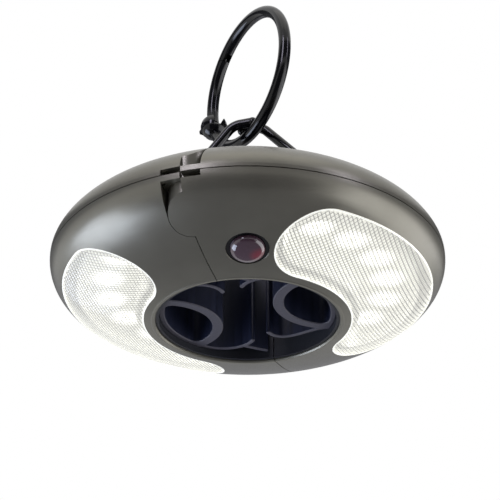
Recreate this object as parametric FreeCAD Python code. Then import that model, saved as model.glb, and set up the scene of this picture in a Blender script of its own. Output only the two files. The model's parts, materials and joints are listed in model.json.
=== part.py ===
"""Clamp-on parasol light: two hinged half rings of lamp housing round an umbrella pole.

Millimetres, +Z up.  The origin is the middle of the pole passage, on the widest circle of
the housing.  The hinge of the two halves lies at -Y and their open joint at +Y.  The left
half is at -X and the right half at +X.  The lenses look down.
"""
import FreeCAD, Part
import math
import os
from FreeCAD import Vector

# ---- housing -----------------------------------------------------------------------
BODY_R = 100.0            # widest radius of the housing
TOP_H = 39.3              # height of the upper curve if it ran on to the axis
TOP_POWER = 1.817         # fullness of the upper curve
BOTTOM_H = 34.2           # depth of the lower curve if it ran on to the axis
BOTTOM_POWER = 2.305      # fullness of the lower curve
SEAM_Z = -2.0             # joint between upper and lower shells
SEAM_GROOVE_H = 0.5       # shadow line round the seam
SEAM_GROOVE_DEPTH = 1.0
WALL = 2.2                # moulded wall
HOLE_R = 46.1             # pole passage through the housing
COLLAR_WALL = 2.0         # turned-in collar round the passage
RIM_FLAT = 1.1            # flat that the housing rests on, round the passage
RIM_STEP = 0.6            # bevel each side of that flat
RIM_TOP_DROP = 0.18       # fall of the upper rim's bead, then of its bevel
RIM_TOP_BEVEL = 0.9
SPLIT_GAP = 0.4           # gap between the closed halves
SPLIT_WALL = 2.0          # end wall of each half at the split

# ---- hinge of the halves -------------------------------------------------------------
HINGE_INSET = 12.7        # hinge axis inside the widest circle
HINGE_Y = -(BODY_R - HINGE_INSET)
KNUCKLE_R = 9.45
KNUCKLE_GAP = 0.3         # between a knuckle and the other half
KNUCKLE_LEVELS = (-5.0, SEAM_Z, 1.0)
PIN_R = 1.5
PIN_LOW = -15.0
PIN_HIGH = 13.0
PIN_END_ROOM = 0.5
PIN_RUN = 0.05            # running clearance of a pin
PIN_CHAMFER = 0.4
SPRING_WIRE = 1.0
SPRING_COIL_R = 4.0
SPRING_PITCH = 1.5
SPRING_TURNS = 4
SPRING_ROOM = 0.4

# ---- lenses and light engine -----------------------------------------------------------
LENS_RIM = 5.7            # housing between the passage and the lens
LENS_EDGE = 6.8           # housing left outside the lens
LENS_INNER_R = HOLE_R + LENS_RIM
LENS_OUTER_R = BODY_R - LENS_EDGE
LENS_END = 45.0           # azimuth from the split plane to the centre of a round end
LENS_FLANGE = 1.6
LENS_FLANGE_T = 1.4
LENS_GAP = 0.12
LENS_TOP = 6.0            # the lens opening ends this far below the seam
TRAY_RIM = 3.2            # lens between its edge and the tray behind it
TRAY_EDGE = 7.2
TRAY_INNER_R = LENS_INNER_R + TRAY_RIM
TRAY_OUTER_R = LENS_OUTER_R - TRAY_EDGE
TRAY_WALL = 1.2
BOARD_Z = -11.0           # underside of the light board
BOARD_T = 1.6
LED_COUNT = 6
LED_SIZE = 5.0
LED_H = 1.9
LED_DOME_H = 0.6
LED_DOME_R = 2.1
LED_DOME_TIP_R = 1.4
LED_WINDOW = 5.6

# ---- button ----------------------------------------------------------------------------
BUTTON_SHIFT = 5.15       # inwards from the middle of the band round the passage
BUTTON_R_POS = (HOLE_R + BODY_R) / 2 - BUTTON_SHIFT
BUTTON_AZIMUTH = 18.0     # from the hinge towards the right half
BUTTON_R = 8.25
BUTTON_RUN = 0.2
BEZEL_WALL = 1.75
BEZEL_SUNK = 0.8
BEZEL_LENGTH = 13.0
BEZEL_FLANGE = 0.3
BEZEL_HOLE_BEVEL = 0.4    # round the hole in the housing
BEZEL_FLANGE_T = 3.0      # its depth before it is trimmed to the inside of the wall
BUTTON_PROUD = 2.4        # rim of the cap stands out of the housing
BUTTON_T = 7.0
BUTTON_DOME = 1.0
BUTTON_EDGE = 1.0         # rounding between the face and the side
BUTTON_STEM_R = 1.8
BUTTON_STEM = 3.7
BUTTON_TRAVEL = 1.2
SWITCH_SIZE = 6.0
SWITCH_H = 2.7
SWITCH_PLUNGER_R = 1.6
CONTROL_BOARD = 18.0
SWITCH_GAP = 0.1          # left between the pressed button and the switch

# ---- rubber jaws and their carriers ------------------------------------------------------
CARRIER_FIT = 0.2         # gap between the carrier and the passage
CARRIER_WALL = 1.5
CARRIER_OUT = HOLE_R - CARRIER_FIT
CARRIER_R = CARRIER_OUT - CARRIER_WALL
CARRIER_HALF = 30.3       # half its height
CARRIER_RIB = 3.0         # height of the rib that is glued to the collar
JAW_LOW = -27.0
JAW_HIGH = 27.0
JAW_SKIN = 2.8            # strip that lies on the carrier
JAW_SKIN_R = CARRIER_R - JAW_SKIN
JAW_PAD_X = 44.1          # centre of the arc that meets the pole
JAW_PAD_OUT = 29.5
JAW_PAD_IN = 24.1
JAW_CORNER = 4.0
FINGER_T = 2.3

# ---- batteries ---------------------------------------------------------------------------
CELL_R = 7.25
CELL_LENGTH = 50.5
CELL_NUB = 1.0            # the button end stands this far out
CELL_NUB_R = 2.7
CELL_PITCH = 15.5
HOLDER_WALL = 1.4
HOLDER_GAP = 1.1          # between the holder and the collar round the passage
CELL_ROOM = 0.15
CELL_X = HOLE_R + COLLAR_WALL + HOLDER_GAP + HOLDER_WALL + CELL_ROOM + CELL_R
CELL_FLOOR = -1.4
HOLDER_TOP = 13.4
HOLDER_FOOT_INSET = 5.0
CONTACT_T = 0.5
CONTACT_ROOM = 1.6
CONTACT_SIZE = 8.0
STUD_R = 3.2
STUD_TIP_R = 1.8
DOOR_INNER_X = 58.0       # straight inner edge of the door
DOOR_EDGE = 12.0          # housing left outside the door
DOOR_OUTER_R = BODY_R - DOOR_EDGE
DOOR_HALF_ANGLE = 25.5
DOOR_CORNER = 4.0
DOOR_T = 1.2
DOOR_GAP = 0.3
DOOR_LEDGE = 2.0
DOOR_PLUG = 1.6

# ---- screws --------------------------------------------------------------------------------
SCREW_PLACES = ((6.5, -52.0), (13.0, 72.0), (22.0, 58.0))
SCREW_R = 1.4
SCREW_HEAD_R = 2.6
SCREW_HEAD_H = 1.8
SCREW_HEAD_Z = 4.0        # underside of the heads
SCREW_TIP_Z = -14.0
SCREW_BOSS_R = 3.9
SCREW_FIT = 0.05
SCREW_HEAD_ROOM = 0.5
CROSS_LENGTH = 3.0        # recess in the heads
CROSS_WIDTH = 0.6
CROSS_DEPTH = 0.9

# ---- hanging hooks ------------------------------------------------------------------------
HOOK_WIRE_R = 2.6
HOOK_Y = 3.1              # each hook stands this far from the middle plane
HOOK_INSET = 5.9          # foot of the hook outside the passage
HOOK_FOOT_X = HOLE_R + HOOK_INSET
HOOK_REACH = 3.8          # tip past the middle
HOOK_TIP_R = 2.75
HOOK_BEND_X = 7.1
HOOK_SLOPE = 48.8
HOOK_BEND_R = 9.0
HOOK_FOOT_BEND_R = 7.0
HOOK_RUN = 0.05
HOOK_NECK_R = 1.9         # bottom of the groove for the clip
HOOK_BOSS_R = 5.4
HOOK_BOSS_Z = 22.0
HOOK_END_Z = 19.6
HOOK_DISH_R = 5.0
HOOK_DISH_DEPTH = 1.2
CLIP_R = 3.7
CLIP_T = 1.4
CLIP_SLOT = 3.0
CLIP_GAP = 0.3

# ---- snap ring --------------------------------------------------------------------------------
RING_R = 38.0
RING_WIRE_R = 3.25
RING_Z = 117.4
RING_TURN = -41.0         # heading of the ring's plane
HOOK_GAP = 0.85           # between the hooks and the ring's bar below them
HOOK_APEX_Z = RING_Z - RING_R + RING_WIRE_R + HOOK_WIRE_R + HOOK_GAP
GATE_PIVOT = 197.0        # ring angles, counted from the near side over the bottom
GATE_END = 135.0
GATE_EYE_R = 3.3
GATE_CLEAR = 0.3
CUP_R = 7.5
CUP_TOP = 3.0
CUP_SLOT_DEPTH = 4.2
GATE_PIN_R = 1.2
TAB_LENGTH = 9.5
TAB_T = 2.4
NOSE_LENGTH = 3.0
NOSE_R = 1.7
TAB_SHIFT = 5.2           # middle of the thumb tab, outwards from the pin
CUP_START = 6.0           # degrees from the pin to the start of the ring's bar in the cup
GATE_ROOT = 3.0           # degrees from the pin to the end of the gate's bar at its eye
END_SPARE = 8.0           # degrees that both bars run on before their ends are cut to fit
PIN_SHORT = 0.6           # each end of the gate's pin below the cup's widest face

BIG = 160.0
UP = Vector(0, 0, 1)
ORIGIN = Vector(0, 0, 0)
CURVE_POINTS = 9
HALVINGS = 60             # steps of the search along a curve


def write(name, shape):
    """Save one node."""
    shape.exportStep("parts/" + name + ".step")
    print(name, "solids", len(shape.Solids), "volume", round(shape.Volume, 1), shape.isValid())


def cylinder(radius, low, high, x=0.0, y=0.0):
    return Part.makeCylinder(radius, high - low, Vector(x, y, low))


def block(x0, x1, y0, y1, z0, z1):
    corner = Vector(min(x0, x1), min(y0, y1), min(z0, z1))
    return Part.makeBox(abs(x1 - x0), abs(y1 - y0), abs(z1 - z0), corner)


def polar(radius, azimuth, z=0.0):
    """Point at an azimuth in degrees counted from the hinge (-Y) towards +X."""
    a = math.radians(azimuth)
    return Vector(radius * math.sin(a), -radius * math.cos(a), z)


def mirrored(shape, side):
    """The right-hand shape itself, or its mirror image for the left."""
    if side > 0:
        return shape
    return shape.mirror(ORIGIN, Vector(1, 0, 0))


# ---- surfaces of the housing ---------------------------------------------------------------
def surface_z(radius, inset, upper):
    """Height of the upper or lower curve at a radius."""
    width = BODY_R - inset
    height = (TOP_H if upper else BOTTOM_H) - inset
    power = TOP_POWER if upper else BOTTOM_POWER
    rise = height * (1 - (radius / width) ** power) ** (1 / power)
    return rise if upper else -rise


def at_radius(curve, radius):
    """Parameter at which a curve in the YZ plane comes in to a radius."""
    low, high = curve.FirstParameter, curve.LastParameter
    for _ in range(HALVINGS):
        middle = (low + high) / 2
        if curve.value(middle).y > radius:
            low = middle
        else:
            high = middle
    return low


def body_curve(inset, upper, inner_r):
    """Superellipse arc in the YZ plane, from the widest circle in to inner_r."""
    width = BODY_R - inset
    height = (TOP_H if upper else BOTTOM_H) - inset
    power = TOP_POWER if upper else BOTTOM_POWER
    sign = 1 if upper else -1
    last = math.acos(((HOLE_R - WALL) / width) ** (power / 2))
    points = []
    for i in range(CURVE_POINTS + 1):
        a = last * i / CURVE_POINTS
        y = width * math.cos(a) ** (2 / power)
        z = sign * height * math.sin(a) ** (2 / power)
        points.append(Vector(0, y, z))
    curve = Part.BSplineCurve()
    curve.interpolate(points)
    stop = at_radius(curve, inner_r)
    end = curve.value(stop)
    curve.segment(curve.FirstParameter, stop)
    return curve.toShape(), end


def lines(points):
    return [Part.LineSegment(a, b).toShape() for a, b in zip(points, points[1:])]


def revolved(edges):
    wire = Part.Wire(Part.__sortEdges__(edges))
    return Part.Face(wire).revolve(ORIGIN, UP, 360)


def body_layer(inset, inner_r):
    """The housing's form, inset from its outer skin, outside inner_r."""
    top, top_end = body_curve(inset, True, inner_r)
    bottom, bottom_end = body_curve(inset, False, inner_r)
    return revolved([top, bottom] + lines([top_end, bottom_end]))


def outer_body():
    """The whole outer form with the beads of its two rims."""
    rim_out = HOLE_R + RIM_FLAT + 2 * RIM_STEP
    top, top_end = body_curve(0, True, HOLE_R + 2 * RIM_STEP)
    bottom, bottom_end = body_curve(0, False, rim_out)
    low = surface_z(HOLE_R, 0, False)
    path = [
        top_end,
        Vector(0, HOLE_R + RIM_STEP, top_end.z - RIM_TOP_DROP),
        Vector(0, HOLE_R, top_end.z - RIM_TOP_BEVEL),
        Vector(0, HOLE_R, low + RIM_STEP),
        Vector(0, HOLE_R + RIM_STEP, low),
        Vector(0, HOLE_R + RIM_STEP + RIM_FLAT, low),
        bottom_end,
    ]
    return revolved([top, bottom] + lines(path))


# ---- plan outlines --------------------------------------------------------------------------
def slot_prism(inner_r, outer_r, end_azimuth, grow, low, high):
    """Curved slot with round ends, centred on +X, as an upright prism."""
    middle = (inner_r + outer_r) / 2
    half = (outer_r - inner_r) / 2 + grow
    r_in = middle - half
    r_out = middle + half
    first = polar(middle, end_azimuth, low)
    last = polar(middle, 180 - end_azimuth, low)
    cap_1 = first + polar(half, end_azimuth - 90)
    cap_2 = last + polar(half, 270 - end_azimuth)
    edges = [
        Part.Arc(polar(r_out, end_azimuth, low), polar(r_out, 90, low),
                 polar(r_out, 180 - end_azimuth, low)).toShape(),
        Part.Arc(polar(r_out, 180 - end_azimuth, low), cap_2,
                 polar(r_in, 180 - end_azimuth, low)).toShape(),
        Part.Arc(polar(r_in, 180 - end_azimuth, low), polar(r_in, 90, low),
                 polar(r_in, end_azimuth, low)).toShape(),
        Part.Arc(polar(r_in, end_azimuth, low), cap_1,
                 polar(r_out, end_azimuth, low)).toShape(),
    ]
    return Part.Face(Part.Wire(edges)).extrude(Vector(0, 0, high - low))


def door_prism(shrink, low, high):
    """Outline of the cell door as an upright prism, with its edges drawn in."""
    shape = cylinder(DOOR_OUTER_R - shrink, low, high)
    shape = shape.common(block(DOOR_INNER_X + shrink, BIG, -BIG, BIG, low, high))
    for sign in (-1, 1):
        plate = block(-BIG, 2 * BIG, -sign * shrink, sign * 2 * BIG, low, high)
        plate.rotate(ORIGIN, UP, sign * DOOR_HALF_ANGLE)
        shape = shape.cut(plate)
    return rounded_verticals(shape, DOOR_CORNER - shrink)


def rounded_verticals(shape, radius):
    """Fillet the upright corner edges of a prism."""
    edges = []
    for edge in shape.Edges:
        ends = [v.Point for v in edge.Vertexes]
        if len(ends) == 2 and (ends[0] - ends[1]).cross(UP).Length < 1e-6:
            edges.append(edge)
    return shape.makeFillet(radius, edges)


# ---- the two halves -----------------------------------------------------------------------
def half_space(side, start, low, high):
    return block(side * start, side * BIG, -BIG, BIG, low, high)


def knuckle_region(side, low, high, owner, first, last):
    """What one half may fill between two knuckle levels."""
    region = half_space(side, SPLIT_GAP / 2, low, high)
    if owner == side:
        bottom = low if first else low + KNUCKLE_GAP / 2
        top = high if last else high - KNUCKLE_GAP / 2
        return region.fuse(cylinder(KNUCKLE_R, bottom, top, 0, HINGE_Y))
    reach = KNUCKLE_R + KNUCKLE_GAP
    corner = block(0, side * reach, -BIG, HINGE_Y, low, high)
    return region.cut(cylinder(reach, low, high, 0, HINGE_Y)).cut(corner)


def half_region(side):
    """The share of the housing that belongs to one half, with its hinge knuckles."""
    levels = (-BIG,) + KNUCKLE_LEVELS + (BIG,)
    owners = (1, -1, 1, -1)
    region = None
    for i, owner in enumerate(owners):
        piece = knuckle_region(side, levels[i], levels[i + 1], owner, i == 0, i == len(owners) - 1)
        region = piece if region is None else region.fuse(piece)
    return region


def half_cavity(side):
    """Room inside one half, clear of the collar, the end walls and the hinge."""
    room = body_layer(WALL, HOLE_R + COLLAR_WALL)
    room = room.common(half_space(side, SPLIT_GAP / 2 + SPLIT_WALL, -BIG, BIG))
    return room.cut(cylinder(KNUCKLE_R + KNUCKLE_GAP + WALL, -BIG, BIG, 0, HINGE_Y))


def seam_groove():
    outer = cylinder(BIG, SEAM_Z - SEAM_GROOVE_H / 2, SEAM_Z + SEAM_GROOVE_H / 2)
    return outer.cut(cylinder(BODY_R - SEAM_GROOVE_DEPTH, -BIG, BIG))


def screw_bosses(side, low, high, room):
    bosses = None
    for x, y in SCREW_PLACES:
        boss = cylinder(SCREW_BOSS_R, low, high, side * x, y)
        bosses = boss if bosses is None else bosses.fuse(boss)
    return bosses.common(room)


def hinge_bore(side):
    radius = PIN_R if side > 0 else PIN_R + PIN_RUN
    return cylinder(radius, PIN_LOW - PIN_END_ROOM, PIN_HIGH + PIN_END_ROOM, 0, HINGE_Y)


def top_shell(side, half, cavity):
    """Upper shell: cell opening with its ledge, hook socket, screw towers."""
    upper = half_space(side, -BIG, SEAM_Z, BIG)
    shell = half.cut(cavity).common(upper)
    room = cavity.common(upper)
    foot = Vector(side * HOOK_FOOT_X, side * HOOK_Y, 0)
    socket = cylinder(HOOK_BOSS_R, HOOK_BOSS_Z, BIG, foot.x, foot.y).common(room)
    shell = shell.fuse(screw_bosses(side, SEAM_Z, BIG, room)).fuse(socket)
    for x, y in SCREW_PLACES:
        shell = shell.cut(cylinder(SCREW_R + SCREW_FIT, -BIG, BIG, side * x, y))
        shell = shell.cut(cylinder(SCREW_HEAD_R + SCREW_HEAD_ROOM, SCREW_HEAD_Z, BIG, side * x, y))
    shell = shell.cut(cylinder(HOOK_WIRE_R + HOOK_RUN, -BIG, BIG, foot.x, foot.y))
    dish_z = surface_z(HOOK_FOOT_X, 0, True)
    dish = Part.makeCone(HOOK_WIRE_R + HOOK_RUN, HOOK_DISH_R, HOOK_DISH_DEPTH + 1,
                         Vector(foot.x, foot.y, dish_z - HOOK_DISH_DEPTH))
    opening = door_prism(DOOR_LEDGE, 0, BIG)
    rebate = door_prism(0, 0, BIG)
    rebate = rebate.cut(body_layer(DOOR_T + DOOR_GAP, HOLE_R))
    shell = shell.cut(dish).cut(mirrored(opening, side)).cut(mirrored(rebate, side))
    return shell.cut(seam_groove()).cut(hinge_bore(side)).removeSplitter()


def button_axis():
    """Surface point of the button and the direction into the housing there."""
    z = surface_z(BUTTON_R_POS, 0, False)
    slope_r = BUTTON_R_POS ** (BOTTOM_POWER - 1) / BODY_R ** BOTTOM_POWER
    slope_z = (-z) ** (BOTTOM_POWER - 1) / BOTTOM_H ** BOTTOM_POWER
    inward = polar(-slope_r, BUTTON_AZIMUTH, slope_z)
    return polar(BUTTON_R_POS, BUTTON_AZIMUTH, z), inward.normalize()


def along_button(radius, start, length):
    """Cylinder on the button's axis; start is its depth below the surface."""
    place, inward = button_axis()
    return Part.makeCylinder(radius, length, place + inward * start, inward)


def bezel_hole_bevel(radius):
    """Cone that bevels the outer edge of the hole for the button's bezel."""
    place, inward = button_axis()
    top_r = radius + BEZEL_HOLE_BEVEL + WALL
    return Part.makeCone(top_r, radius, BEZEL_HOLE_BEVEL + WALL, place - inward * WALL, inward)


def bottom_shell(side, half, cavity, lens_hole):
    """Lower shell: lens opening, screw posts and, on the right, the button's hole."""
    lower = half_space(side, -BIG, -BIG, SEAM_Z)
    shell = half.cut(cavity).common(lower)
    room = cavity.common(lower)
    shell = shell.fuse(screw_bosses(side, -BIG, SEAM_Z, room))
    for x, y in SCREW_PLACES:
        shell = shell.cut(cylinder(SCREW_R + SCREW_FIT, SCREW_TIP_Z - 1, BIG, side * x, y))
    shell = shell.cut(lens_hole).cut(seam_groove()).cut(hinge_bore(side))
    if side > 0:
        bezel_r = BUTTON_R + BUTTON_RUN + BEZEL_WALL
        shell = shell.cut(along_button(bezel_r, -WALL, 3 * WALL)).cut(bezel_hole_bevel(bezel_r))
        shell = shell.cut(spring_pocket())
    return shell.removeSplitter()


def spring_height():
    return SPRING_TURNS * SPRING_PITCH + SPRING_WIRE


def spring_top():
    return KNUCKLE_LEVELS[0] - KNUCKLE_GAP


def spring_pocket():
    radius = SPRING_COIL_R + SPRING_WIRE / 2 + SPRING_ROOM
    low = spring_top() - spring_height()
    return cylinder(radius, low, KNUCKLE_LEVELS[0], 0, HINGE_Y)


def tangent_arc(start, corner, end):
    """Arc from start to end, tangent to the two equal legs that meet at a corner."""
    middle = (start + end) / 2
    leg = (start - corner).Length
    height = (middle - corner).Length
    radius = leg * (middle - start).Length / height
    top = corner + (middle - corner).normalize() * (leg * leg / height - radius)
    return Part.Arc(start, top, end).toShape()


def biarc(start, start_dir, end, end_dir):
    """Two arcs that leave a point and reach another in given directions."""
    span = end - start
    both = start_dir + end_dir
    bend = 2 * (1 - start_dir.dot(end_dir))
    along = span.dot(both)
    leg = (math.sqrt(along ** 2 + bend * span.dot(span)) - along) / bend
    corner_1 = start + start_dir * leg
    corner_2 = end - end_dir * leg
    joint = (corner_1 + corner_2) / 2
    return [tangent_arc(start, corner_1, joint), tangent_arc(joint, corner_2, end)]


def spring_point(quarter):
    """Place and direction of the spring's wire after so many quarter turns."""
    a = quarter * math.pi / 2
    rise = SPRING_PITCH / 4
    place = Vector(SPRING_COIL_R * math.cos(a), SPRING_COIL_R * math.sin(a), rise * quarter)
    slope = SPRING_PITCH / (2 * math.pi)
    heading = Vector(-SPRING_COIL_R * math.sin(a), SPRING_COIL_R * math.cos(a), slope)
    return place, heading.normalize()


def hinge_spring():
    """Closing spring round the hinge pin, at the bottom of its pocket."""
    edges = []
    for quarter in range(4 * SPRING_TURNS):
        edges += biarc(*spring_point(quarter), *spring_point(quarter + 1))
    coil = swept_rod(Part.Wire(edges), SPRING_WIRE / 2)
    coil.translate(Vector(0, HINGE_Y, spring_top() - spring_height() + SPRING_WIRE / 2))
    print("least gap between the turns of the hinge spring", SPRING_PITCH - SPRING_WIRE)
    return coil


def hinge_pin():
    pin = cylinder(PIN_R, PIN_LOW, PIN_HIGH, 0, HINGE_Y)
    return pin.makeChamfer(PIN_CHAMFER, [e for e in pin.Edges if isinstance(e.Curve, Part.Circle)])


# ---- light engine -----------------------------------------------------------------------------
def lens(side, lens_back):
    """Clear cover, flush with the housing, with a flange behind the wall."""
    low, high = -BIG, SEAM_Z
    plate = slot_prism(LENS_INNER_R, LENS_OUTER_R, LENS_END, -LENS_GAP, low, high)
    plate = plate.common(body_layer(0, HOLE_R))
    flange = slot_prism(LENS_INNER_R, LENS_OUTER_R, LENS_END, LENS_FLANGE, low, high)
    flange = flange.common(body_layer(WALL, HOLE_R))
    return mirrored(plate.fuse(flange).cut(lens_back).removeSplitter(), side)


def led_places():
    step = (180.0 - 2 * LENS_END) / (LED_COUNT - 1)
    middle = (TRAY_INNER_R + TRAY_OUTER_R) / 2
    return [(middle, LENS_END + step * i) for i in range(LED_COUNT)]


def led_block(size, low, high, radius, azimuth):
    piece = block(radius - size / 2, radius + size / 2, -size / 2, size / 2, low, high)
    piece.rotate(ORIGIN, UP, azimuth - 90)
    return piece


def reflector(side, lens_back):
    """White tray behind the lens: a plate with a window for each light, and a skirt."""
    low = -BIG
    tray = slot_prism(TRAY_INNER_R, TRAY_OUTER_R, LENS_END, 0, low, BOARD_Z)
    tray = tray.common(lens_back)
    tray = tray.cut(slot_prism(TRAY_INNER_R, TRAY_OUTER_R, LENS_END, -TRAY_WALL, low,
                               BOARD_Z - TRAY_WALL))
    for radius, azimuth in led_places():
        tray = tray.cut(led_block(LED_WINDOW, low, BIG, radius, azimuth))
    return mirrored(tray, side)


def light_board(side):
    board = slot_prism(TRAY_INNER_R, TRAY_OUTER_R, LENS_END, 0, BOARD_Z, BOARD_Z + BOARD_T)
    return mirrored(board, side)


def leds(side):
    """Surface-mounted lights, each a square package with a domed face."""
    pieces = []
    for radius, azimuth in led_places():
        face_z = BOARD_Z - LED_H + LED_DOME_H
        body = led_block(LED_SIZE, face_z, BOARD_Z, radius, azimuth)
        place = polar(radius, azimuth, face_z)
        dome = Part.makeCone(LED_DOME_R, LED_DOME_TIP_R, LED_DOME_H, place, Vector(0, 0, -1))
        pieces.append(body.fuse(dome))
    return mirrored(Part.makeCompound(pieces), side)


# ---- button ---------------------------------------------------------------------------------------
def button():
    """Cap with a domed face, a rounded edge and the stem that presses the switch."""
    face_r = BUTTON_R - BUTTON_EDGE
    ball_r = (face_r ** 2 + BUTTON_DOME ** 2) / (2 * BUTTON_DOME)
    midway = ball_r - math.sqrt(ball_r ** 2 - face_r ** 2 / 4)
    side_z = BUTTON_DOME + BUTTON_EDGE
    bend = BUTTON_EDGE * (1 - math.sqrt(0.5))
    corners = [
        (BUTTON_R, side_z),
        (BUTTON_R, BUTTON_T),
        (BUTTON_STEM_R, BUTTON_T),
        (BUTTON_STEM_R, BUTTON_T + BUTTON_STEM),
        (0, BUTTON_T + BUTTON_STEM),
        (0, 0),
    ]
    points = [Vector(0, y, z) for y, z in corners]
    rim = Vector(0, face_r, BUTTON_DOME)
    dome = Part.Arc(ORIGIN, Vector(0, face_r / 2, midway), rim).toShape()
    edge = Part.Arc(rim, Vector(0, BUTTON_R - bend, BUTTON_DOME + bend), points[0]).toShape()
    cap = revolved([dome, edge] + lines(points))
    place, inward = button_axis()
    start = place - inward * (BUTTON_PROUD + BUTTON_DOME)
    cap.Placement = FreeCAD.Placement(start, FreeCAD.Rotation(UP, inward))
    return cap


def button_bezel():
    """Black tube that guides the cap and carries the control board."""
    outer_r = BUTTON_R + BUTTON_RUN + BEZEL_WALL
    bezel = along_button(outer_r - LENS_GAP, BEZEL_SUNK, BEZEL_LENGTH - BEZEL_SUNK)
    ring = along_button(outer_r + BEZEL_FLANGE, WALL, BEZEL_FLANGE_T)
    ring = ring.common(body_layer(WALL, HOLE_R))
    return bezel.fuse(ring).cut(along_button(BUTTON_R + BUTTON_RUN, -1, BEZEL_LENGTH + 2))


def square_on_button(size, start, length):
    """Square plate across the button's axis, its sides lined up with the radius."""
    place, inward = button_axis()
    plate = Part.makeBox(size, size, length, Vector(-size / 2, -size / 2, 0))
    tilt = FreeCAD.Rotation(UP, inward)
    turn = FreeCAD.Rotation(UP, BUTTON_AZIMUTH)
    spot = FreeCAD.Placement(place + inward * start, tilt.multiply(turn))
    plate.Placement = spot
    return plate


def button_switch():
    """Push switch on the control board."""
    stem_end = BUTTON_T + BUTTON_STEM - BUTTON_PROUD - BUTTON_DOME
    tip = stem_end + BUTTON_TRAVEL + SWITCH_GAP
    plunger = along_button(SWITCH_PLUNGER_R, tip, BEZEL_LENGTH - SWITCH_H - tip)
    body = square_on_button(SWITCH_SIZE, BEZEL_LENGTH - SWITCH_H, SWITCH_H)
    return body.fuse(plunger)


def control_board():
    return square_on_button(CONTROL_BOARD, BEZEL_LENGTH, BOARD_T)


# ---- carriers and rubber jaws -------------------------------------------------------------------
def carrier(side):
    """Half tube inside the passage that the rubber jaw is bonded to."""
    tube = cylinder(CARRIER_OUT, -CARRIER_HALF, CARRIER_HALF).cut(cylinder(CARRIER_R, -BIG, BIG))
    tube = tube.common(half_space(side, SPLIT_GAP / 2, -BIG, BIG))
    rib = cylinder(HOLE_R, -CARRIER_RIB / 2, CARRIER_RIB / 2).cut(cylinder(CARRIER_R, -BIG, BIG))
    return tube.fuse(rib.common(half_space(side, SPLIT_GAP / 2, -BIG, BIG)))


def lens_area(centre_x, radius_1, radius_2):
    """Overlap of a disc about the axis and a disc beside it, as an upright prism."""
    disc_1 = cylinder(radius_1, JAW_LOW, JAW_HIGH)
    disc_2 = cylinder(radius_2, JAW_LOW, JAW_HIGH, centre_x, 0)
    return disc_1.common(disc_2)


def finger(points, thickness):
    """Bent strip of even thickness along a smooth centre line, with a round tip."""
    curve = Part.BSplineCurve()
    curve.interpolate([Vector(x, y, JAW_LOW) for x, y in points])
    first, last = curve.FirstParameter, curve.LastParameter
    sides = ([], [])
    for i in range(CURVE_POINTS):
        u = first + (last - first) * i / (CURVE_POINTS - 1)
        middle = curve.value(u)
        tangent = curve.tangent(u)[0]
        normal = Vector(-tangent.y, tangent.x, 0)
        sides[0].append(middle + normal * (thickness / 2))
        sides[1].append(middle - normal * (thickness / 2))
    tip = curve.value(last) + curve.tangent(last)[0] * (thickness / 2)
    edges = []
    for row in sides:
        edge = Part.BSplineCurve()
        edge.interpolate(row)
        edges.append(edge.toShape())
    edges.append(Part.LineSegment(sides[0][0], sides[1][0]).toShape())
    edges.append(Part.Arc(sides[0][-1], tip, sides[1][-1]).toShape())
    wire = Part.Wire(Part.__sortEdges__(edges))
    return Part.Face(wire).extrude(Vector(0, 0, JAW_HIGH - JAW_LOW))


def jaw(side, finger_paths):
    """Springy rubber jaw: a hollow pad that meets the pole, and its bent fingers."""
    pad = lens_area(JAW_PAD_X, CARRIER_R, JAW_PAD_OUT)
    hollow = rounded_verticals(lens_area(JAW_PAD_X, JAW_SKIN_R, JAW_PAD_IN), JAW_CORNER)
    shape = pad
    inside = cylinder(CARRIER_R, JAW_LOW, JAW_HIGH)
    for path in finger_paths:
        shape = shape.fuse(finger(path, FINGER_T).common(inside))
    shape = shape.cut(hollow).removeSplitter()
    if side < 0:
        shape.rotate(ORIGIN, UP, 180)
    return shape


# ---- batteries ------------------------------------------------------------------------------------
def cell_axes():
    return [CELL_X, CELL_X + CELL_PITCH]


def cell_z():
    return CELL_FLOOR + CELL_ROOM + CELL_R


def cells(side):
    """Two round cells side by side, laid head to tail, each with its button end."""
    pieces = []
    for i, x in enumerate(cell_axes()):
        heading = 1 if i == 0 else -1
        start = Vector(x, -heading * CELL_LENGTH / 2, cell_z())
        body = Part.makeCylinder(CELL_R, CELL_LENGTH - CELL_NUB, start, Vector(0, heading, 0))
        nub = Part.makeCylinder(CELL_NUB_R, CELL_LENGTH, start, Vector(0, heading, 0))
        pieces.append(body.fuse(nub))
    return mirrored(Part.makeCompound(pieces), side)


def cell_holder(side):
    """Open box with a curved floor for each cell, on two feet."""
    x0 = CELL_X - CELL_R - CELL_ROOM
    x1 = CELL_X + CELL_PITCH + CELL_R + CELL_ROOM
    y1 = CELL_LENGTH / 2 + CONTACT_ROOM
    t = HOLDER_WALL
    box = block(x0 - t, x1 + t, -y1 - t, y1 + t, CELL_FLOOR - t, HOLDER_TOP)
    box = box.cut(block(x0, x1, -y1, y1, cell_z(), BIG))
    for x in cell_axes():
        start = Vector(x, -y1, cell_z())
        box = box.cut(Part.makeCylinder(CELL_R + CELL_ROOM, 2 * y1, start, Vector(0, 1, 0)))
    for sign in (-1, 1):
        y = sign * (y1 - HOLDER_FOOT_INSET)
        box = box.fuse(block(x0 + HOLDER_FOOT_INSET, x1 - HOLDER_FOOT_INSET, y - t, y + t,
                             BOARD_Z + BOARD_T, CELL_FLOOR - t))
    return mirrored(box, side)


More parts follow.
